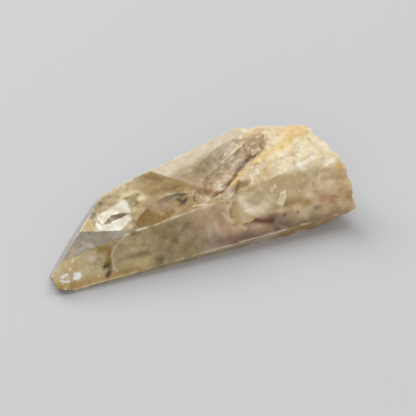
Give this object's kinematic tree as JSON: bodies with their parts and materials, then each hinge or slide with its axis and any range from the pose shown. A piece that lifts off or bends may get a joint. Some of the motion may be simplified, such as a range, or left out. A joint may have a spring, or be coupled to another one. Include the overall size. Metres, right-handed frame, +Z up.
{
  "type": "citrine crystal point",
  "caption": "Natural citrine crystal point that lies on a prism face, clear golden at the tip and milky towards its rough broken root, for display or as a paperweight.",
  "frame": {"origin": "centre of the bounding box on the surface that the crystal lies on", "axes": "+X along the crystal's long axis from the tip to the broken root, +Z up, -Y towards the side that faces the viewer"},
  "size_m": [0.054, 0.0252, 0.0123],
  "materials": {
    "citrine": "translucent golden quartz, glossy on the crystal faces, milky and sugary on the broken root"
  },
  "bodies": {
    "root": {"crystal_point": "citrine"}
  },
  "joints": []
}
